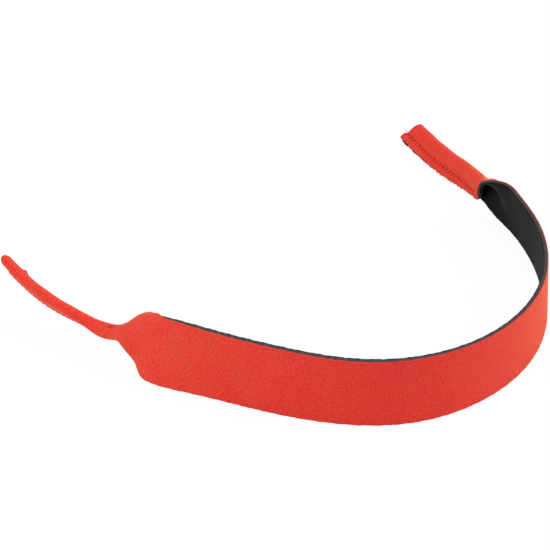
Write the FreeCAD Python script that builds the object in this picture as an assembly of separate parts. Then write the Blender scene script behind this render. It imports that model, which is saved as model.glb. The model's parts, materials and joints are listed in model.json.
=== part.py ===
import FreeCAD, Part
import math
import os

V = FreeCAD.Vector
os.makedirs("parts", exist_ok=True)

# ---------------------------------------------------------------- driving dimensions (mm, degrees)
WIDTH = 30.0          # flat width of the band
TAB = 25.0            # flat width of each end tab, folded in half to make a sleeve
LENGTH = 452.0        # end to end, measured along the strip
JERSEY = 0.3          # outer knit
FOAM = 1.4            # neoprene core
LINING = 0.3          # inner knit
GLUE = 0.03           # adhesive film that bonds each knit to the foam
THICK = JERSEY + FOAM + LINING + 2 * GLUE

SLEEVE = 60.0         # sewn length of each temple sleeve
SEAM_GAP = 0.15       # between the two lining faces where the seam holds them
SEAM_ROW = 3.8        # from the raw edge to the inner row of stitches
EDGE_ROW = 0.9        # from the raw edge to the outer row of stitches
STITCH = 2.5          # stitch pitch
THREAD = 0.19         # thread radius
THREAD_CLEAR = 0.3    # between a thread and the knit it lies on
THREAD_SIDES = 6      # of a thread's own outline
SEAM_INSET = 1.0      # from each end of the sleeve to the nearest stitch
TAIL = 2.6            # loose thread left beyond the tip

RAW_LEG = 2.0         # straight cloth left beside each raw edge where the curl begins
FOLD_MOUTH = {-1: 7.6, 1: 10.0}   # cloth width taken up by the fold where each seam starts
FOLD_SLEEVE = 4.4     # the same where the sleeve lies flat
FOLD_SETTLE = 16.0    # sleeve length over which one becomes the other
FOLD_TIGHTEN = 1.9    # power by which the fold tightens ahead of its turning
CURL = {-1: 25.0, 1: 42.0}   # length of cloth that curls up ahead of each seam
CURL_ONSET = 1.5      # power that makes the curl set in gently
ROLL = 18.0           # length ahead of the seam over which the fold rolls to mid-width
LAP = 2.4             # how far ahead of the seam the raw edges already meet
FOLD_FACETS = 12      # flat facets across a folded layer, half of them on the fold
PITCH_FLAT = 10.0     # length of the facets along a flat panel
PITCH_CURL = 4.0      # the same where the cloth curls up
PITCH_SLEEVE = 5.0    # the same along the sewn sleeve

SIDE_FLEX = 62.0      # living hinges, from the middle of the strap
NECK_FLEX = 125.0
HINGE_GAP = 0.3       # between the round end of one panel and the hollow end of the next
OVERRUN = 1.5 * THICK   # cloth beyond a hinge that its round end is cut from

HALF = LENGTH / 2
PATH_SPARE = 6        # whole millimetres of path beyond each tip
SEAM_START = HALF - SLEEVE

# Resting shape: distance from the middle, heading, lean of the top edge, climb
STATIONS = [
    (-228, -46, -150, -20), (-196, -36, -143, -13), (-172, -34, -131, -6), (-164, -33, -112, -4),
    (-158, -32, -72, -3), (-150, -29, -22, -2), (-125, -23, -12, 0), (-90, -20, -7, 0),
    (-60, -8, -4, 0), (-30, 16, -4, 0), (0, 38, -3, 0), (30, 58, -3, 0), (60, 77, -4, 0),
    (90, 92, -7, 0), (120, 104, -12, 0), (138, 106, -9, 1), (152, 107, 2, 1), (176, 113, 10, -6),
    (200, 116, 33, -1), (228, 119, 56, 5),
]

# ---------------------------------------------------------------- path of the strap
posture = Part.BSplineCurve()
posture.interpolate(Points=[V(*row[1:]) for row in STATIONS], Parameters=[row[0] for row in STATIONS])


def directions(s):
    """Along the strip, out of its red face, and up its width, at distance s from the middle."""
    heading, lean, climb = (math.radians(angle) for angle in posture.value(s))
    along = V(math.cos(heading) * math.cos(climb), math.sin(heading) * math.cos(climb), math.sin(climb))
    level = V(math.sin(heading), -math.cos(heading), 0)
    upright = level.cross(along)
    up = upright * math.cos(lean) + level * math.sin(lean)
    out = level * math.cos(lean) - upright * math.sin(lean)
    return along, out, up


middle = {0: V(0, 0, WIDTH / 2)}
for way in (-1, 1):
    for step in range(int(HALF) + PATH_SPARE):
        s = way * step
        middle[s + way] = middle[s] + directions(s + way / 2)[0] * way


def place(s):
    """Point on the strip's middle line, with its three directions."""
    low = math.floor(s)
    point = middle[low] + (middle[low + 1] - middle[low]) * (s - low)
    return (point,) + directions(s)


# ---------------------------------------------------------------- cross-section of the cloth
def ease(value):
    value = min(max(value, 0.0), 1.0)
    return value * value * (3 - 2 * value)


def fold(s):
    """Cloth width kept, on the fold and folded over, how far the fold has turned, tilt of the kept part."""
    side = 1 if s > 0 else -1
    mouth = FOLD_MOUTH[side]
    reach = max(abs(s) - SEAM_START + CURL[side], 0) / (CURL[side] - LAP)
    closed = ease(reach ** CURL_ONSET)
    tightened = 1 - (1 - closed) ** FOLD_TIGHTEN
    flatten = ease((abs(s) - SEAM_START) / FOLD_SETTLE)
    rolled = ease((abs(s) - SEAM_START + ROLL) / ROLL)
    width = WIDTH + (TAB - WIDTH) * closed
    curling = WIDTH - 2 * RAW_LEG
    spread = curling + (mouth - curling) * tightened + (FOLD_SLEEVE - mouth) * flatten
    over = RAW_LEG + ((width - spread) / 2 - RAW_LEG) * rolled
    sewn, tilt = min(spread, mouth), 0.0
    for _ in range(30):   # settles on the tilt that brings the two raw edges together
        radius = sewn / (math.pi + 2 * tilt)
        tilt = math.asin((radius * math.cos(tilt) - (THICK + SEAM_GAP) / 2) / (width - sewn) * 2)
    return width - spread - over, spread, over, closed * (math.pi + 2 * tilt), -closed * tilt


def cloth(s, across, level):
    """Point on the strap: `across` runs from the raw edge that stays put, `level` out from mid-thickness."""
    side = 1 if s > 0 else -1
    kept, spread, over, turn, start = fold(s)
    first, arc = min(across, kept), min(max(across - kept, 0), spread)
    last = max(across - kept - spread, 0)
    angle = start + turn * arc / spread
    out, up = -first * math.sin(start), first * math.cos(start) - (kept + spread + over) / 2
    if turn > 0:
        radius = spread / turn
        out += radius * (math.cos(angle) - math.cos(start))
        up += radius * (math.sin(angle) - math.sin(start))
    else:
        up += arc
    out += -last * math.sin(angle) + level * math.cos(angle)
    up += last * math.cos(angle) + level * math.sin(angle)
    point, _, outward, upward = place(s)
    return point + outward * out + upward * up * side


def rib(s, level, folded):
    """Points across the strap on one face of a layer, spaced evenly on each side of a fold and on it."""
    if not folded:
        point, _, out, up = place(s)
        return [point + out * level + up * WIDTH * half for half in (-0.5, 0.5)]
    across = [0.0]
    for part, share in zip(fold(s), (1, 2, 1)):
        count = share * FOLD_FACETS // 4
        across += [across[-1] + part * (i + 1) / count for i in range(count)]
    return [cloth(s, distance, level) for distance in across]


def facets(first, second):
    """Triangles between two rows of points, split alike on every skin so that layers stay parallel."""
    faces = []
    for i in range(len(first) - 1):
        for corners in ([first[i], first[i + 1], second[i + 1]], [first[i], second[i + 1], second[i]]):
            faces.append(Part.Face(Part.makePolygon(corners + corners[:1])))
    return faces


def layer_solid(inner, outer, cuts, folded):
    """Closed solid of one layer: two faceted skins, the two raw edges and the two ends."""
    low, high = ([rib(s, level, folded) for s in cuts] for level in (inner, outer))
    faces = []
    for ribs in (low, high):
        for first, second in zip(ribs, ribs[1:]):
            faces += facets(first, second)
    for edge in (0, -1):
        faces += facets([row[edge] for row in low], [row[edge] for row in high])
    for end in (0, -1):
        faces += facets(low[end], high[end])
    shell = Part.makeShell(faces)
    shell.sewShape()
    solid = Part.makeSolid(shell)
    if solid.Volume < 0:
        solid.reverse()
    return solid


def stops(start, end, pitch):
    count = max(2, round(abs(end - start) / pitch))
    return [start + (end - start) * i / count for i in range(count + 1)]


# ---------------------------------------------------------------- panels between the living hinges
def hinge_cutter(s, radius, side):
    """What a panel's round end leaves out: the near side of the hinge plane less the round."""
    point, along, out, up = place(s)
    reach = 2 * OVERRUN + THICK
    corner = point - up * WIDTH - out * reach - (along * reach if side > 0 else V())
    block = Part.makeBox(2 * reach, reach, 2 * WIDTH)
    block.Placement = FreeCAD.Placement(corner, FreeCAD.Rotation(out, along, up, "ZXY"))
    return block.cut(Part.makeCylinder(radius, 2 * WIDTH, point - up * WIDTH, up))


LAYERS = {"lining": (-THICK / 2, -THICK / 2 + LINING),
          "foam": (-THICK / 2 + LINING + GLUE, THICK / 2 - JERSEY - GLUE),
          "jersey": (THICK / 2 - JERSEY, THICK / 2)}


def panel(layer, near, far, folded=False):
    """One layer between two hinges; `near` is the end towards the middle, None on the middle panel."""
    inner, outer = LAYERS[layer]
    side = 1 if far > 0 else -1
    start = -far if near is None else near - side * OVERRUN
    if folded:
        seam, settled = side * SEAM_START, side * (SEAM_START + FOLD_SETTLE)
        cuts = stops(start, seam, PITCH_CURL) + stops(seam, settled, PITCH_CURL)[1:]
        cuts += stops(settled, far, PITCH_SLEEVE)[1:]
    else:
        cuts = stops(start, far, PITCH_FLAT)
    shape = layer_solid(inner, outer, cuts, folded)
    if near is not None:
        shape = shape.cut(hinge_cutter(near, THICK / 2, side))
    if not folded:
        for s in ([far] if near is not None else [-far, far]):
            point, _, _, up = place(s)
            shape = shape.cut(Part.makeCylinder(THICK / 2 + HINGE_GAP, 2 * WIDTH, point - up * WIDTH, up))
    return shape.Solids[0]


nodes = {}
for layer in LAYERS:
    nodes["band_" + layer] = panel(layer, None, SIDE_FLEX)
    for name, side in (("left", -1), ("right", 1)):
        nodes[f"{name}_side_{layer}"] = panel(layer, side * SIDE_FLEX, side * NECK_FLEX)
        nodes[f"{name}_sleeve_{layer}"] = panel(layer, side * NECK_FLEX, side * HALF, folded=True)


# ---------------------------------------------------------------- seam threads
def thread(side, near_face, tail):
    """Zigzag between the two stitch rows, on the kept half or on the half folded over."""
    count = int((SLEEVE - 2 * SEAM_INSET) / STITCH)
    level = THICK / 2 + THREAD + THREAD_CLEAR
    path = []
    for i in range(2 * count + 1):
        depth = SEAM_ROW if i % 2 == 0 else EDGE_ROW
        across = depth if near_face else TAB - depth
        path.append(cloth(side * (SEAM_START + SEAM_INSET + i * STITCH / 2), across, level))
    if tail:
        path.append(path[-1] + directions(side * HALF)[0] * side * TAIL + V(0, 0, THREAD))
    wire = Part.makePolygon(path)
    start = path[1] - path[0]
    ring = Part.makeCircle(THREAD, path[0], start)
    corners = [ring.valueAt(2 * math.pi * i / THREAD_SIDES) for i in range(THREAD_SIDES + 1)]
    return wire.makePipeShell([Part.makePolygon(corners)], True, False, 1)


for name, side in (("left", -1), ("right", 1)):
    nodes[name + "_seam_needle_thread"] = thread(side, False, side > 0)
    nodes[name + "_seam_bobbin_thread"] = thread(side, True, False)

# ---------------------------------------------------------------- stand on the floor, centred, and save
box = Part.makeCompound(list(nodes.values())).BoundBox
shift = V(-box.Center.x, -box.Center.y, -box.ZMin)
for name, shape in nodes.items():
    shape.translate(shift)
    shape.exportStep(f"parts/{name}.step")
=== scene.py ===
import json
import math

import bpy
import numpy as np
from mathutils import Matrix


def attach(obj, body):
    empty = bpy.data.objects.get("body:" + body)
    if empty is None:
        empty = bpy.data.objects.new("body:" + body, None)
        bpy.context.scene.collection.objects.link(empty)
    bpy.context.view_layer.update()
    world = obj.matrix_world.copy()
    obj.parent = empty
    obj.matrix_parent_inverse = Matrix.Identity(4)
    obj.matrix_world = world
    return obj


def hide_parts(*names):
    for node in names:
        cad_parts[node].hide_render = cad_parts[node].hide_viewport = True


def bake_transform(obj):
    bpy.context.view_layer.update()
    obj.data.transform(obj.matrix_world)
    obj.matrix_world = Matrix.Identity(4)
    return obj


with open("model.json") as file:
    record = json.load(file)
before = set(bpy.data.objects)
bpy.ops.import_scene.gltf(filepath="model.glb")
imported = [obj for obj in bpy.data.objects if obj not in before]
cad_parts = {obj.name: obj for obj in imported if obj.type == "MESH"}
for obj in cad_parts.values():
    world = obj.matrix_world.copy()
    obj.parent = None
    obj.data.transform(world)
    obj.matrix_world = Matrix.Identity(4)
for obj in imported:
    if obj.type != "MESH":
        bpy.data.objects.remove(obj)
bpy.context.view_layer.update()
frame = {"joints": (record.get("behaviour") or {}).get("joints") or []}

# ---------------------------------------------------------------- Lining
# The side worn against the head is a thin black knit, glued to the foam before the strip is die-cut.
# The strip rests on its lower edge in an open loop, and its ends fold lining inwards to make sleeves.
MM = 0.001            # the lengths below are in millimetres
WIDTH = 30.0          # flat width of the band
TAB = 25.0            # flat width of each end, folded in half to make a sleeve
HALF = 226.0          # from the middle of the strip to either tip
SLEEVE = 60.0         # sewn length of each end
SEAM_START = HALF - SLEEVE
JERSEY, FOAM, LINING, GLUE = 0.3, 1.4, 0.3, 0.03
THICK = JERSEY + FOAM + LINING + 2 * GLUE
LEFT_NECK, LEFT_SIDE, RIGHT_SIDE, RIGHT_NECK = -125.0, -62.0, 62.0, 125.0   # where the strap flexes
STATIONS = np.array([   # from the middle of the band, then heading, lean of the top edge and climb in degrees
    (-228, -46, -150, -21), (-212, -41, -147, -18), (-200, -37, -144, -13), (-182, -35, -137, -9),
    (-172, -34, -131, -11), (-164, -33, -106, -2), (-158, -32, -66, 3), (-150, -29, -22, -5),
    (-141, -27, -15, -1), (-125, -23, -11, 0), (-90, -20, -7, 0), (-60, -8, -4, 0), (-30, 16, -4, 0),
    (0, 38, -3, 0), (30, 58, -3, 0), (60, 77, -4, 0), (90, 92, -7, 0), (120, 104, -12, 0),
    (138, 106, -9, 2), (152, 107, 2, 1), (164, 110, 5, -3), (176, 113, 10, -7), (200, 116, 33, -3),
    (228, 119, 56, 5),
], float)


def smooth_slopes(x, y):
    """Slope at each station of the smooth curve through them all."""
    h = np.diff(x)
    matrix, right = np.eye(len(x)), np.zeros_like(y)
    for end, near in ((0, slice(0, 4)), (-1, slice(-4, None))):   # the cubic through the last four
        for column in range(y.shape[1]):
            cubic = np.polyfit(x[near] - x[end], y[near, column], 3)
            right[end, column] = cubic[2]
    for i in range(1, len(x) - 1):
        matrix[i, i - 1:i + 2] = 1 / h[i - 1], 2 / h[i - 1] + 2 / h[i], 1 / h[i]
        right[i] = 3 * ((y[i] - y[i - 1]) / h[i - 1] ** 2 + (y[i + 1] - y[i]) / h[i] ** 2)
    return np.linalg.solve(matrix, right)


station_slopes = smooth_slopes(STATIONS[:, 0], STATIONS[:, 1:])


def posture(s):
    """Heading, lean and climb in radians at distances s along the strap."""
    x, y = STATIONS[:, 0], STATIONS[:, 1:]
    i = np.clip(np.searchsorted(x, s) - 1, 0, len(x) - 2)
    h = (x[i + 1] - x[i])[:, None]
    t = ((s - x[i]) / h[:, 0])[:, None]
    value = (y[i] * (1 + 2 * t) * (1 - t) ** 2 + y[i + 1] * t ** 2 * (3 - 2 * t)
             + h * t * (1 - t) * (station_slopes[i] * (1 - t) - station_slopes[i + 1] * t))
    return np.radians(value).T


def directions(s):
    """Along the strap, out of its face, and up its width."""
    heading, lean, climb = posture(np.atleast_1d(np.asarray(s, float)))
    along = np.stack([np.cos(heading) * np.cos(climb), np.sin(heading) * np.cos(climb), np.sin(climb)], 1)
    level = np.stack([np.sin(heading), -np.cos(heading), 0 * heading], 1)
    upright = np.cross(level, along)
    cos_lean, sin_lean = np.cos(lean)[:, None], np.sin(lean)[:, None]
    return along, level * cos_lean - upright * sin_lean, upright * cos_lean + level * sin_lean


LINE_SPARE = 6        # how far the middle line is laid past each tip
line_stops = np.arange(-int(HALF) - LINE_SPARE, int(HALF) + LINE_SPARE + 1)
line_steps = directions(line_stops[:-1] + 0.5)[0]
middle_line = np.vstack([np.zeros(3), np.cumsum(line_steps, 0)])
middle_line += np.array([0, 0, WIDTH / 2]) - middle_line[line_stops == 0]


def on_line(s):
    return np.stack([np.interp(s, line_stops, middle_line[:, axis]) for axis in range(3)], 1)


# The frame says where the left side flexes, and the whole line is shifted to pass through there.
hinge = next(joint for joint in frame["joints"] if joint["name"] == "left_side_flex")
shift = np.array(hinge["pos_m"]) / MM - on_line(np.array([LEFT_SIDE]))[0]

# Past each neck the cloth rolls up and over until its raw edges meet, and there they are sewn.
RAW_LEG = 2.0         # folded over beyond the roll, before the roll tightens
MOUTH_LEFT, MOUTH_RIGHT = 8.4, 10.0   # cloth on the fold where the seam starts
FOLD_SLEEVE = 4.4     # cloth on the fold further along the sleeve
FOLD_SETTLE = 16.0    # over which the fold goes from the one to the other
FOLD_TIGHTEN = 1.9    # the fold tightens sooner than it turns
CURL_LEFT, CURL_RIGHT = 25.0, 42.0    # over which the cloth curls, ahead of the seam
CURL_ONSET = 1.5      # more makes the curl start more gently
ROLL = 18.0           # over which the folded half grows to full width
LAP = 2.4             # the raw edges meet this far ahead of the seam
SEAM_GAP = 0.15       # between the two halves at the seam
TILT_ROUNDS = 30      # enough for the fold's tilt to settle


def ease(value):
    value = np.clip(value, 0, 1)
    return value * value * (3 - 2 * value)


def fold(s):
    """Cloth width kept, on the fold and folded over, how far the fold has turned, tilt of the kept part."""
    mouth = np.where(s > 0, MOUTH_RIGHT, MOUTH_LEFT)
    curl = np.where(s > 0, CURL_RIGHT, CURL_LEFT)
    beyond = np.abs(s) - SEAM_START
    closed = ease((np.maximum(beyond + curl, 0) / (curl - LAP)) ** CURL_ONSET)
    tightened = 1 - (1 - closed) ** FOLD_TIGHTEN
    width = WIDTH + (TAB - WIDTH) * closed
    curling = WIDTH - 2 * RAW_LEG
    spread = (curling + (mouth - curling) * tightened
              + (FOLD_SLEEVE - mouth) * ease(beyond / FOLD_SETTLE))
    over = RAW_LEG + ((width - spread) / 2 - RAW_LEG) * ease((beyond + ROLL) / ROLL)
    sewn, tilt = np.minimum(spread, mouth), np.zeros_like(s)
    for _ in range(TILT_ROUNDS):
        radius = sewn / (math.pi + 2 * tilt)
        tilt = np.arcsin((radius * np.cos(tilt) - (THICK + SEAM_GAP) / 2) / (width - sewn) * 2)
    return width - spread - over, spread, over, closed * (math.pi + 2 * tilt), -closed * tilt


# The seam draws the cloth in: a pit at every stitch, a groove under every thread, and the raw strip
# beyond the stitches swells between them. On the left a knot and two creases stand by the seam.
SEAM_ROW = 3.8        # from the raw edge to the stitch holes
STITCH = 2.5          # stitch pitch
SEAM_INSET = 1.0      # from the mouth to the first stitch
SLANT = 0.22          # how far along a stitch runs for each millimetre across
SEWN_AHEAD, SEWN_REACH = 1.5, 2.5    # the relief starts ahead of the seam, and is full this much further
PIT_DEPTH, GROOVE_DEPTH, VALLEY_DEPTH, SWELL = 0.95, 0.2, 0.25, 0.38
PIT_LONG, PIT_WIDE, GROOVE_LONG, GROOVE_END, VALLEY_IN, VALLEY_WIDE = 0.5, 1.05, 0.34, 0.8, 0.2, 1.0
GROOVE_PAINTED_SHADE, VALLEY_PAINTED_SHADE, CREASE_PAINTED_SHADE = 0.25, 0.12, 0.6   # painted shade in grooves, valleys and creases, where a pit's is 1
PULL_EVEN, PULL_UNEVEN, PULL_BEAT = 0.8, 0.2, 2.4         # some stitches are pulled tighter
KNOT_FROM_TIP, KNOT_IN, KNOT_LONG, KNOT_WIDE, KNOT_HIGH = 6.5, 1.4, 1.4, 1.6, 1.1
CREASES = ((165.5, 3.2, 0.7), (167.0, 2.8, 2.2))          # how far along, how long, how high on the fold
CREASE_DEPTH, CREASE_WIDE, CREASE_RISE = 0.7, 0.45, 0.16
CREST_PAINTED_SHADE, CREST_WIDE, CREST_START = 0.4, 1.1, 6.0        # painted shade along the left fold's crest: how dark, how wide, over how far it comes


def seam_relief(s, edge, on_fold):
    """How far the outer face stands out and how much painted shade it takes, so far from the edge and on to
    the fold.
    """
    beyond = np.abs(s) - SEAM_START
    sewn = ease((beyond + SEWN_AHEAD) / SEWN_REACH)
    beat = (beyond - SEAM_INSET) / STITCH
    off = (beat - np.round(beat)) * STITCH + SLANT * (edge - SEAM_ROW)
    pull = PULL_EVEN + PULL_UNEVEN * np.sin(np.round(beat) * PULL_BEAT)
    pit = np.exp(-(off / PIT_LONG) ** 2 - ((edge - SEAM_ROW) / PIT_WIDE) ** 2) * pull
    groove = np.exp(-(off / GROOVE_LONG) ** 2) * ease((SEAM_ROW - edge) / GROOVE_END)
    valley = np.exp(-((edge - SEAM_ROW - VALLEY_IN) / VALLEY_WIDE) ** 2)
    swell = np.sin(np.clip(edge / SEAM_ROW, 0, 1) * math.pi)
    knot = np.exp(-((HALF - KNOT_FROM_TIP - np.abs(s)) / KNOT_LONG) ** 2
                  - ((edge - KNOT_IN) / KNOT_WIDE) ** 2)
    knot = knot * (s < 0) * (on_fold < 0)
    rise = (SWELL * swell - PIT_DEPTH * pit - GROOVE_DEPTH * groove - VALLEY_DEPTH * valley
            + KNOT_HIGH * knot)
    crease = sum(np.exp(-((on_fold - high - CREASE_RISE * (np.abs(s) - middle)) / CREASE_WIDE) ** 2
                        - ((np.abs(s) - middle) / length) ** 4) for middle, length, high in CREASES) * (s < 0)
    crest = np.exp(-((on_fold - FOLD_SLEEVE / 2) / CREST_WIDE) ** 2) * ease(beyond / CREST_START) * (s < 0)
    # Painted shade: pits, grooves, valleys and creases are painted darker where shade falls in them, and the
    # left fold's crest gets a painted darker stripe.
    painted_shade = (pit + GROOVE_PAINTED_SHADE * groove + VALLEY_PAINTED_SHADE * valley) * sewn
    return rise * sewn - CREASE_DEPTH * crease, painted_shade + CREASE_PAINTED_SHADE * crease - CREST_PAINTED_SHADE * crest


# The cloth gives under the die, so the raw edges wander a little and the cut leans: along the left
# half's top edge the lining stands higher than the jersey. Between stitches the sewn edges bulge.
EDGE_REACH = 0.8      # how far into the cloth the edge's unevenness goes
EDGE_AHEAD, EDGE_GROW = 2, 4         # it grows as the relief does, a little sooner
CUT_IN = 0.05         # the cut lies this far inside the line
WANDER = ((0.07, 0.83), (0.05, 2.1), (0.04, 4.7))         # how far, and how many radians in a millimetre
EDGE_BEVEL = 0.5      # how much higher the lining stands
BEVEL_START, BEVEL_GROW, BEVEL_FADE = 148, 30, 60         # where it starts, and how fast it comes and goes
SCALLOP_LEFT, SCALLOP_RIGHT, SCALLOP_LAG = 0.04, 0.16, 0.35
KEPT_LEDGE, OVER_LEDGE = -0.22, 0.06                      # the kept edge is sewn a little proud of the other


def cut_edge(s, across, width, level, phase):
    """How far the cloth near a raw edge is moved across."""
    beyond = np.abs(s) - SEAM_START
    sewn = ease((beyond + EDGE_AHEAD) / EDGE_GROW)
    kept_side = across < width / 2
    near_edge = np.exp(-(np.minimum(across, width - across) / EDGE_REACH) ** 2)
    wander = CUT_IN + sum(far * np.sin(rate * s + (wave + 1) * phase)
                          for wave, (far, rate) in enumerate(WANDER))
    beat = (beyond - SEAM_INSET) / STITCH - SCALLOP_LAG
    scallop = sewn * np.where(s > 0, SCALLOP_RIGHT, SCALLOP_LEFT) * np.cos(2 * math.pi * beat)
    ledge = sewn * np.where(kept_side, KEPT_LEDGE, OVER_LEDGE)
    bevel = np.where(kept_side, EDGE_BEVEL, 0) * (0.5 - level / THICK)
    bevel = bevel * ease((s + BEVEL_START) / BEVEL_GROW) * ease(-s / BEVEL_FADE)
    return np.where(kept_side, 1.0, -1.0) * near_edge * (wander * (1 + sewn) + scallop + ledge - bevel)


# Just ahead of the left seam the kept edge rolls back towards the lining, which rounds the shoulder.
SHOULDER = 6.0        # cloth in the roll
SHOULDER_TURNS = ((95, 28, 11), (15, 17, 7))   # degrees, from how far ahead of the seam, over how far
SHOULDER_BACK, SHOULDER_GONE = 9, 7            # where it turns back, and over how far
FLAT = 1e-5           # a turn too small to see, so that nothing is divided by nought


def shoulder_roll(s):
    """How far the shoulder has rolled, in radians."""
    beyond = -s - SEAM_START
    rolled = sum(turn * ease((beyond + ahead) / reach) for turn, ahead, reach in SHOULDER_TURNS)
    return np.radians(rolled) * (1 - ease((beyond + SHOULDER_BACK) / SHOULDER_GONE)) + FLAT


def shoulder(s, across, width, level, start):
    """Whether a point is on the rolled shoulder, and how far out and up it is there."""
    hook = shoulder_roll(s)
    bent = hook * (1 - np.clip(across / SHOULDER, 0, 1))
    rolled, drop = SHOULDER / hook * np.sin(bent), SHOULDER / hook * (1 - np.cos(bent))
    out = (-SHOULDER * np.sin(start) + rolled * np.sin(start) - drop * np.cos(start)
           + level * np.cos(start - bent))
    up = (SHOULDER * np.cos(start) - width / 2 - rolled * np.cos(start) - drop * np.sin(start)
          + level * np.sin(start - bent))
    return (across < SHOULDER) & (hook > 1000 * FLAT), out, up


SLEEVE_WAVE, SLEEVE_WAVE_RATE, SLEEVE_WAVE_GROW = 0.08, 0.41, 5   # the sleeves aren't quite flat
TIP_ROUND, TIP_PRESS = 1.8, 0.5      # the left tip is pressed together: over what length, how much
TIP_CORNER = 5.0      # the tips are cut askew over this length
ASKEW_LEFT, ASKEW_RIGHT, ASKEW_SEAM = -1.0, 1.2, 1.1     # at the fold, and at the right seam
ASKEW_WIDE, ASKEW_SEAM_WIDE, ASKEW_SEAM_STEP = 4, SEAM_ROW + 0.6, 0.8


def formed(s, up_cloth, level, phase=0.0):
    """The place in metres of a point of the flat blank: along it, up its width and through its layers."""
    side = np.where(s > 0, 1.0, -1.0)
    kept, spread, over, turn, start = fold(s)
    width = kept + spread + over
    across = width * (0.5 + side * up_cloth / WIDTH)
    edge = np.minimum(across, width - across)
    sewn = ease((np.abs(s) - SEAM_START + EDGE_AHEAD) / EDGE_GROW)
    across = across + cut_edge(s, across, width, level, phase)
    level = level + seam_relief(s, edge, across - kept)[0] * (level + THICK / 2) / THICK
    wave = SLEEVE_WAVE * np.sin(SLEEVE_WAVE_RATE * np.abs(s) + 1.0)
    level = level + sewn * wave * ease((edge - SEAM_ROW) / SLEEVE_WAVE_GROW)
    first = np.minimum(across, kept)
    arc = np.clip(across - kept, 0, spread)
    last = np.maximum(across - kept - spread, 0)
    angle = start + turn * arc / spread
    turned = turn > 1e-6   # flat cloth has no radius
    radius = spread / np.where(turned, turn, 1.0)
    out = -first * np.sin(start) + np.where(turned, radius * (np.cos(angle) - np.cos(start)), 0)
    out = out - last * np.sin(angle) + level * np.cos(angle)
    up = first * np.cos(start) - width / 2 + np.where(turned, radius * (np.sin(angle) - np.sin(start)), arc)
    up = up + last * np.cos(angle) + level * np.sin(angle)
    at_shoulder, shoulder_out, shoulder_up = shoulder(s, across, width, level, start)
    out, up = np.where(at_shoulder, shoulder_out, out), np.where(at_shoulder, shoulder_up, up)
    tip = np.clip((np.abs(s) - HALF + TIP_ROUND) / TIP_ROUND, 0, 1)
    centre = -kept * np.sin(start) - radius * np.cos(start)
    out = np.where((tip > 0) & (s < 0), centre + (out - centre) * np.sqrt(1 - TIP_PRESS * tip ** 2), out)
    corner = (ease(1 - np.abs(across - width / 2) / ASKEW_WIDE) * np.where(s > 0, ASKEW_RIGHT, ASKEW_LEFT)
              - ease((ASKEW_SEAM_WIDE - edge) / ASKEW_SEAM_STEP) * np.where(s > 0, ASKEW_SEAM, 0))
    s = s - side * corner * ease((np.abs(s) - HALF + TIP_CORNER) / TIP_CORNER)
    _, outward, upward = directions(s)
    return (on_line(s) + shift + outward * out[:, None] + upward * (up * side)[:, None]) * MM


class Socket:
    """One output of a node: sums and products written on it become Math nodes."""
    def __init__(self, finish, output):
        self.finish, self.output = finish, output

    def _maths(self, operation, *values):
        return self.finish.node("ShaderNodeMath", {"operation": operation}, dict(enumerate(values)))

    def __add__(self, other): return self._maths("ADD", self, other)
    def __radd__(self, other): return self._maths("ADD", other, self)
    def __sub__(self, other): return self._maths("SUBTRACT", self, other)
    def __rsub__(self, other): return self._maths("SUBTRACT", other, self)
    def __mul__(self, other): return self._maths("MULTIPLY", self, other)
    def __rmul__(self, other): return self._maths("MULTIPLY", other, self)
    def sine(self): return self._maths("SINE", self)
    def unsigned(self): return self._maths("ABSOLUTE", self)
    def clamped(self): return self.finish.node("ShaderNodeClamp", None, {"Value": self})


class Finish:
    """A material, or the studio's air, being written: its nodes are added as expressions use them."""
    def __init__(self, name, air=None):
        self.material = air or bpy.data.materials.new(name)
        self.material.use_nodes = True
        self.tree = self.material.node_tree
        self.tree.nodes.clear()

    def node(self, kind, settings=None, inputs=None, output=0):
        made = self.tree.nodes.new(kind)
        for name, value in (settings or {}).items():
            setattr(made, name, value)
        for name, value in (inputs or {}).items():
            if isinstance(value, Socket):
                self.tree.links.new(value.output, made.inputs[name])
            else:
                made.inputs[name].default_value = value
        return Socket(self, made.outputs[output]) if made.outputs else None

    def tint(self, share, first, second):
        return self.node("ShaderNodeMix", {"data_type": "RGBA"}, {0: share, 6: first, 7: second}, 2)

    def seen(self):
        """1 where the camera looks straight, in a reflection or through a clear piece."""
        rays = [self.node("ShaderNodeLightPath", None, None, f"Is {kind} Ray")
                for kind in ("Camera", "Glossy", "Transmission")]
        return (rays[0] + rays[1] + rays[2]).clamped()


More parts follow.
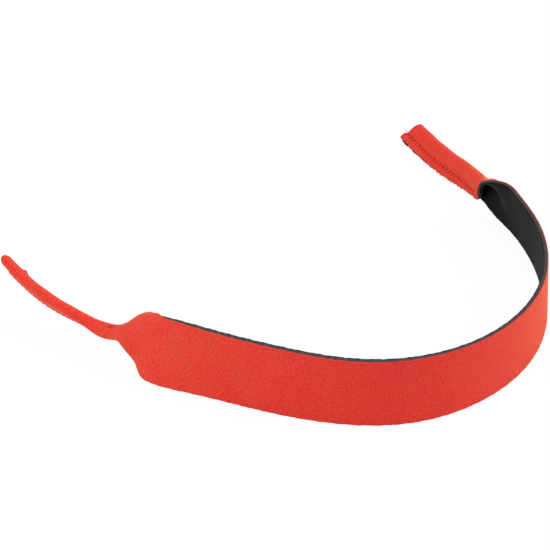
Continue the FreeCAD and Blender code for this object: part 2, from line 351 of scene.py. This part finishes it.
def knit(name, loop, gap, furrow, in_painted_shade, rib, sheen, tint):
    """Fine knit mapped in millimetres: speckled loops in ribs across the strap, darkened by painted shade at
    the seams and creases, with a painted sheen towards the ends.
    """
    finish = Finish(name)
    cloth = finish.node("ShaderNodeUVMap", {"uv_map": "cloth"})
    stretched = finish.node("ShaderNodeVectorMath", {"operation": "MULTIPLY"}, {0: cloth, 1: (1.0, 0.22, 1)})
    streaks = finish.node("ShaderNodeTexNoise", None, {"Vector": stretched, "Scale": 1.3, "Detail": 2.0})
    fuzz = finish.node("ShaderNodeTexNoise", None, {"Vector": cloth, "Scale": 1.1, "Detail": 4.0,
                                                    "Roughness": 0.7})
    cloud = finish.node("ShaderNodeTexNoise", None, {"Vector": cloth, "Scale": 0.07, "Detail": 2.0})
    along = finish.node("ShaderNodeSeparateXYZ", None, {"Vector": cloth}, 0)
    painted_shade = finish.node("ShaderNodeAttribute", {"attribute_name": "painted_shade"}, None, 2)
    # The ribs open up where the band bends most, the nap stands up towards the left end, and both ends get a
    # painted sheen.
    open_ribs = (1.4 - along.unsigned() * 0.0095).clamped()
    wales = ((along + fuzz * 0.3) * (2 * math.pi / rib)).sine() * 0.5 + 0.5
    nap_and_painted_sheen = (1.24 - along * 0.006).clamped() * 0.7 + 0.3
    # Painted sheen: the knit is painted paler towards both ends, most towards the left.
    painted_sheen = ((along.unsigned() - 40) * 0.003).clamped() * nap_and_painted_sheen + 0.1
    # Painted shade: a darker stripe along the left fold's crest, where the seam's painted shade falls below
    # nought.
    painted_crest_shade = (painted_shade + 1).clamped() - 1
    speckle_and_painted_light = ((fuzz - 0.5) * 4.5 * nap_and_painted_sheen + cloud * 0.6 + painted_sheen + painted_crest_shade).clamped()
    furrows = ((wales * 0.45 + streaks * 1.3 - 0.45).clamped() * open_ribs * 0.75).clamped()
    colour = finish.tint(speckle_and_painted_light, gap, loop)
    colour = finish.tint(furrows, colour, furrow)
    # Painted shade, darkest in the seam's pits, grooves and creases.
    colour = finish.tint((painted_shade * 0.95).clamped(), colour, in_painted_shade)
    height = fuzz * 0.9 - wales * open_ribs * 0.5 - streaks * 0.3
    bump = finish.node("ShaderNodeBump", None, {"Strength": 0.45, "Distance": 0.0001, "Height": height})
    surface = finish.node("ShaderNodeBsdfPrincipled", None, {
        "Base Color": colour, "Roughness": 0.9, "Normal": bump, "Sheen Weight": sheen,
        "Sheen Roughness": 0.45, "Sheen Tint": tint, "Specular IOR Level": 0.08})
    finish.node("ShaderNodeOutputMaterial", None, {"Surface": surface})
    return finish.material


# Each layer is made in four lengths that meet in the middle of a stiff stretch, so that each length
# reaches over one flex only: name, ends, mesh pitch, the two bodies, and where that flex is.
JOIN = 93.0           # from the middle of the band to where two lengths meet
NECK_MESH, WING_MESH = 0.42, 1.0
LENGTHS = (
    ("left_neck", -HALF, -JOIN, NECK_MESH, "left_side", "left_sleeve", LEFT_NECK),
    ("left_wing", -JOIN, 0, WING_MESH, "band", "left_side", LEFT_SIDE),
    ("right_wing", 0, JOIN, WING_MESH, "band", "right_side", RIGHT_SIDE),
    ("right_neck", JOIN, HALF, NECK_MESH, "right_side", "right_sleeve", RIGHT_NECK),
)
CREASE_ANGLE = 50     # the cut edges stay crisp


def cut_layer(layer, low, high, phase, finish):
    """One layer of the strip: each length a flat blank, extruded to its thickness, then formed in place."""
    cut = []
    for name, near, far, pitch, inner_body, outer_body, flex in LENGTHS:
        bpy.ops.object.select_all(action="DESELECT")
        bpy.ops.mesh.primitive_grid_add(x_subdivisions=round((far - near) / pitch),
                                        y_subdivisions=round(WIDTH / pitch), size=1)
        piece = bpy.context.object
        piece.name = piece.data.name = f"{name}_{layer}"
        bpy.ops.object.mode_set(mode="EDIT")
        bpy.ops.mesh.select_all(action="SELECT")
        bpy.ops.transform.resize(value=(far - near, WIDTH, 1))
        bpy.ops.transform.translate(value=((near + far) / 2, 0, low))
        bpy.ops.mesh.extrude_region_move(TRANSFORM_OT_translate={"value": (0, 0, high - low)})
        bpy.ops.mesh.select_all(action="SELECT")
        bpy.ops.mesh.normals_make_consistent(inside=False)
        bpy.ops.object.mode_set(mode="OBJECT")
        mesh = piece.data
        flat = np.zeros(len(mesh.vertices) * 3)
        mesh.vertices.foreach_get("co", flat)
        flat = flat.reshape(-1, 3)
        while mesh.uv_layers:
            mesh.uv_layers.remove(mesh.uv_layers[0])
        corners = np.zeros(len(mesh.loops), int)
        mesh.loops.foreach_get("vertex_index", corners)
        mesh.uv_layers.new(name="cloth").data.foreach_set("uv", flat[corners, :2].ravel())
        kept, spread, over = fold(flat[:, 0])[:3]
        width = kept + spread + over
        across = width * (0.5 + np.sign(flat[:, 0]) * flat[:, 1] / WIDTH)
        # The painted shade of the seam and creases is kept on the outer face's vertices for the knit to read.
        in_painted_shade = seam_relief(flat[:, 0], np.minimum(across, width - across), across - kept)[1]
        painted_shade = np.where(flat[:, 2] > 0, in_painted_shade, 0)   # only the outer face shows it
        mesh.attributes.new("painted_shade", "FLOAT", "POINT").data.foreach_set("value", painted_shade)
        mesh.vertices.foreach_set("co", formed(*flat.T, phase).ravel())
        mesh.update()
        bpy.ops.object.shade_smooth_by_angle(angle=math.radians(CREASE_ANGLE))
        mesh.materials.append(finish)
        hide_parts(f"{inner_body}_{layer}", f"{outer_body}_{layer}")
        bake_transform(piece)
        stops = np.linspace(near, far, 200)
        cut.append((piece, far - near, float(np.mean(np.sum(fold(stops)[:3], 0)) * (far - near))))
    return cut


# The fourth colour of each knit is its painted shade, for the seam's pits, grooves and creases.
lining_knit = knit("lining knit", loop=(0.0105, 0.010, 0.0105, 1), gap=(0.0045, 0.0045, 0.0047, 1),
                   furrow=(0.005, 0.005, 0.005, 1), in_painted_shade=(0.004, 0.004, 0.004, 1), rib=0.8,
                   sheen=0.04, tint=(1, 1, 1, 1))
for piece, length, area in cut_layer("lining", -THICK / 2, -THICK / 2 + LINING, 1.7, lining_knit):
    length * MM
    area * MM ** 2

# ---------------------------------------------------------------- Foam core
# Closed-cell neoprene foam, 1.4 mm thick, gives the strap its body. It shows only as the dark grey
# line along the raw edges and at the sleeves' open ends.
FOAM_WALL = (0.105, 0.090, 0.088, 1)
FOAM_CELL = (0.042, 0.036, 0.036, 1)
foam = Finish("foam core")
spots = foam.node("ShaderNodeTexCoord", None, None, "Object")
cells = foam.node("ShaderNodeTexVoronoi", None, {"Vector": spots, "Scale": 3200.0})
tear = foam.node("ShaderNodeTexNoise", None, {"Vector": spots, "Scale": 900.0, "Detail": 3.0})
wall = (cells * 0.8 + tear * 1.4 - 0.75).clamped()
pits = foam.node("ShaderNodeBump", None, {"Strength": 0.5, "Distance": 0.0001, "Height": wall})
cut_foam = foam.node("ShaderNodeBsdfPrincipled", None, {
    "Base Color": foam.tint(wall, FOAM_CELL, FOAM_WALL), "Roughness": 0.92, "Normal": pits,
    "Specular IOR Level": 0.15})
foam.node("ShaderNodeOutputMaterial", None, {"Surface": cut_foam})
foam_low, foam_high = -THICK / 2 + LINING + GLUE, THICK / 2 - JERSEY - GLUE
for piece, _, _ in cut_layer("foam", foam_low, foam_high, 0.4, foam.material):
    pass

# ---------------------------------------------------------------- Jersey
# The outer face is a red stretch knit with a soft brushed surface, glued to the foam. Its ribs run
# across the strap, and it catches the light where it turns away.
# Its fourth colour is the dark red of painted shade in the seam's pits, grooves and creases.
red_knit = knit("jersey knit", loop=(0.81, 0.076, 0.046, 1), gap=(0.77, 0.022, 0.021, 1),
                furrow=(0.60, 0.026, 0.030, 1), in_painted_shade=(0.33, 0.008, 0.016, 1), rib=1.0,
                sheen=0.6, tint=(1, 0.42, 0.22, 1))
for piece, length, area in cut_layer("jersey", THICK / 2 - JERSEY, THICK / 2, 0.0, red_knit):
    length * MM
    area * MM ** 2

# ---------------------------------------------------------------- Seam threads
# Each sleeve is closed by one row of overcast stitches in spun polyester of the jersey's red: the
# needle thread on the half folded over, the bobbin thread on the half that stays.
THREAD = 0.17         # half the thread's thickness
SPAN = 24             # stitches in a seam
STEPS = (             # one stitch: pitches on, how far from the raw edge, how far above the knit
    (0.00, SEAM_ROW, -0.35), (0.10, 3.0, 0.0), (0.22, 1.9, 0.05), (0.32, 0.8, 0.05),
    (0.42, 0.35, -0.1), (0.58, 0.9, -0.1), (0.78, 2.2, -0.15), (0.93, 3.2, -0.3))
TAIL = ((0.5, 4.3, 0.1), (0.9, 4.5, 0.3), (1.3, 4.6, 0.2), (1.5, 4.4, 0.1))   # past the last stitch
LEAD = 0.4            # the thread starts this many pitches ahead of its first stitch

thread = Finish("seam thread")
strand = thread.node("ShaderNodeTexCoord", None, None, "Object")
twist = thread.node("ShaderNodeTexWave", {"bands_direction": "DIAGONAL"},
                    {"Vector": strand, "Scale": 900.0, "Distortion": 2.0, "Detail": 2.0})
dyed = thread.tint(twist, (0.62, 0.034, 0.030, 1), (0.90, 0.13, 0.085, 1))
spun = thread.node("ShaderNodeBsdfPrincipled", None, {"Base Color": dyed, "Roughness": 0.7,
                                                     "Sheen Weight": 0.2, "Specular IOR Level": 0.2})
thread.node("ShaderNodeOutputMaterial", None, {"Surface": spun})


def sewn_point(side, pitches, edge, height, kept):
    """A point of the thread, so many stitches from the mouth, on the kept half or the folded-over one."""
    s = np.array([side * (SEAM_START + SEAM_INSET + pitches * STITCH)])
    width = np.sum(fold(s)[:3], 0)
    across = edge if kept else width - edge
    return formed(s, side * (across / width - 0.5) * WIDTH, np.array([THICK / 2 + THREAD + height]))[0]


for side_name, side in (("left", -1), ("right", 1)):
    for run, kept in (("needle", False), ("bobbin", True)):
        course = [sewn_point(side, i + on, edge, height, kept) for i in range(-1, SPAN - 1)
                  for on, edge, height in STEPS if i + on > -LEAD]
        course += [sewn_point(side, SPAN - 1, SEAM_ROW, 0.0, kept)]
        if run == "needle":
            course += [sewn_point(side, SPAN - 1 + on, edge, height, kept) for on, edge, height in TAIL]
        bpy.ops.object.select_all(action="DESELECT")
        bpy.ops.curve.primitive_nurbs_path_add()
        stitches = bpy.context.object
        stitches.name = stitches.data.name = f"{side_name}_{run}_stitches"
        stitches.data.splines.clear()
        spline = stitches.data.splines.new("NURBS")
        spline.points.add(len(course) - 1)
        spline.points.foreach_set("co", np.hstack([course, np.ones((len(course), 1))]).ravel())
        spline.order_u = 3
        spline.use_endpoint_u = True
        stitches.data.resolution_u = 2
        stitches.data.bevel_depth = THREAD * MM
        stitches.data.bevel_resolution = 1
        stitches.data.use_fill_caps = True
        stitches.select_set(True)
        bpy.context.view_layer.objects.active = stitches
        bpy.ops.object.convert(target="MESH")
        bpy.ops.object.shade_smooth()
        stitches.data.materials.clear()
        stitches.data.materials.append(thread.material)
        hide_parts(f"{side_name}_seam_{run}_thread")
        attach(stitches, f"{side_name}_sleeve")

# ---------------------------------------------------------------- Floor
# A plain white studio sweep, which the camera sees as pure white with only a faint shadow on it.
SHADOW_SHARE = 0.07
SWEEP_SIZE = 12       # metres
sweep = Finish("white sweep")
paper = sweep.node("ShaderNodeBsdfDiffuse", None, {"Color": (0.9, 0.9, 0.9, 1)})
glow = sweep.node("ShaderNodeEmission", None, {"Color": (1, 1, 1, 1), "Strength": 1.02})
lit = sweep.node("ShaderNodeMixShader", None, {0: sweep.seen() * (1 - SHADOW_SHARE), 1: paper, 2: glow})
sweep.node("ShaderNodeOutputMaterial", None, {"Surface": lit})
bpy.ops.object.select_all(action="DESELECT")
bpy.ops.mesh.primitive_plane_add(size=SWEEP_SIZE, location=(0, 0, 0))
floor = bpy.context.object
floor.name = "floor"
floor.data.materials.append(sweep.material)

# ---------------------------------------------------------------- Light
# Light from all round, and three softboxes: the left one lights the plain front of the strap, the
# right one its outer bend, a weak one stands overhead, and the front between them stays a little deeper.
SOFTBOXES = (         # name, place in metres, size, watts
    ("left_softbox", (-1.0, -0.9, 0.9), 0.9, 11.0),
    ("right_softbox", (1.3, 0.0, 0.7), 0.9, 12.0),
    ("top_softbox", (0.1, 0.2, 1.5), 1.2, 8.0),
)
AMBIENT = 0.34
world = bpy.data.worlds.new("studio")
bpy.context.scene.world = world
air = Finish("studio air", world)
sky = air.node("ShaderNodeBackground", None, {"Color": (1, 1, 1, 1),
                                              "Strength": air.seen() * (1 - AMBIENT) + AMBIENT})
air.node("ShaderNodeOutputWorld", None, {"Surface": sky})
for name, spot, size, power in SOFTBOXES:
    lamp = bpy.data.lights.new(name, "AREA")
    lamp.size, lamp.energy = size, power
    softbox = bpy.data.objects.new(name, lamp)
    bpy.context.scene.collection.objects.link(softbox)
    softbox.location = spot
    softbox.rotation_euler = (-softbox.location).to_track_quat("-Z", "Y").to_euler()

# ---------------------------------------------------------------- Camera
# It looks down on the loop from the front, with the open side of the loop away from it.
CAMERA_LENS = 104.73
CAMERA_PITCH = 34.0           # degrees below level
CAMERA_BACK = (71.7, 505.0)   # to the left of the aim and in front of it
CAMERA_HEIGHT = 406.3
AIM = -15.0                   # on the strap, from the middle of the band
aim = on_line(np.array([AIM]))[0] + shift
camera_data = bpy.data.cameras.new("camera")
camera_data.sensor_width = 36.0
camera_data.lens = CAMERA_LENS
camera = bpy.data.objects.new("camera", camera_data)
bpy.context.scene.collection.objects.link(camera)
camera.location = ((aim[0] - CAMERA_BACK[0]) * MM, (aim[1] - CAMERA_BACK[1]) * MM,
                   (CAMERA_HEIGHT + shift[2]) * MM)
camera.rotation_euler = (math.radians(90 - CAMERA_PITCH), 0, 0)
bpy.context.scene.camera = camera
bpy.context.scene.view_settings.view_transform = "Standard"
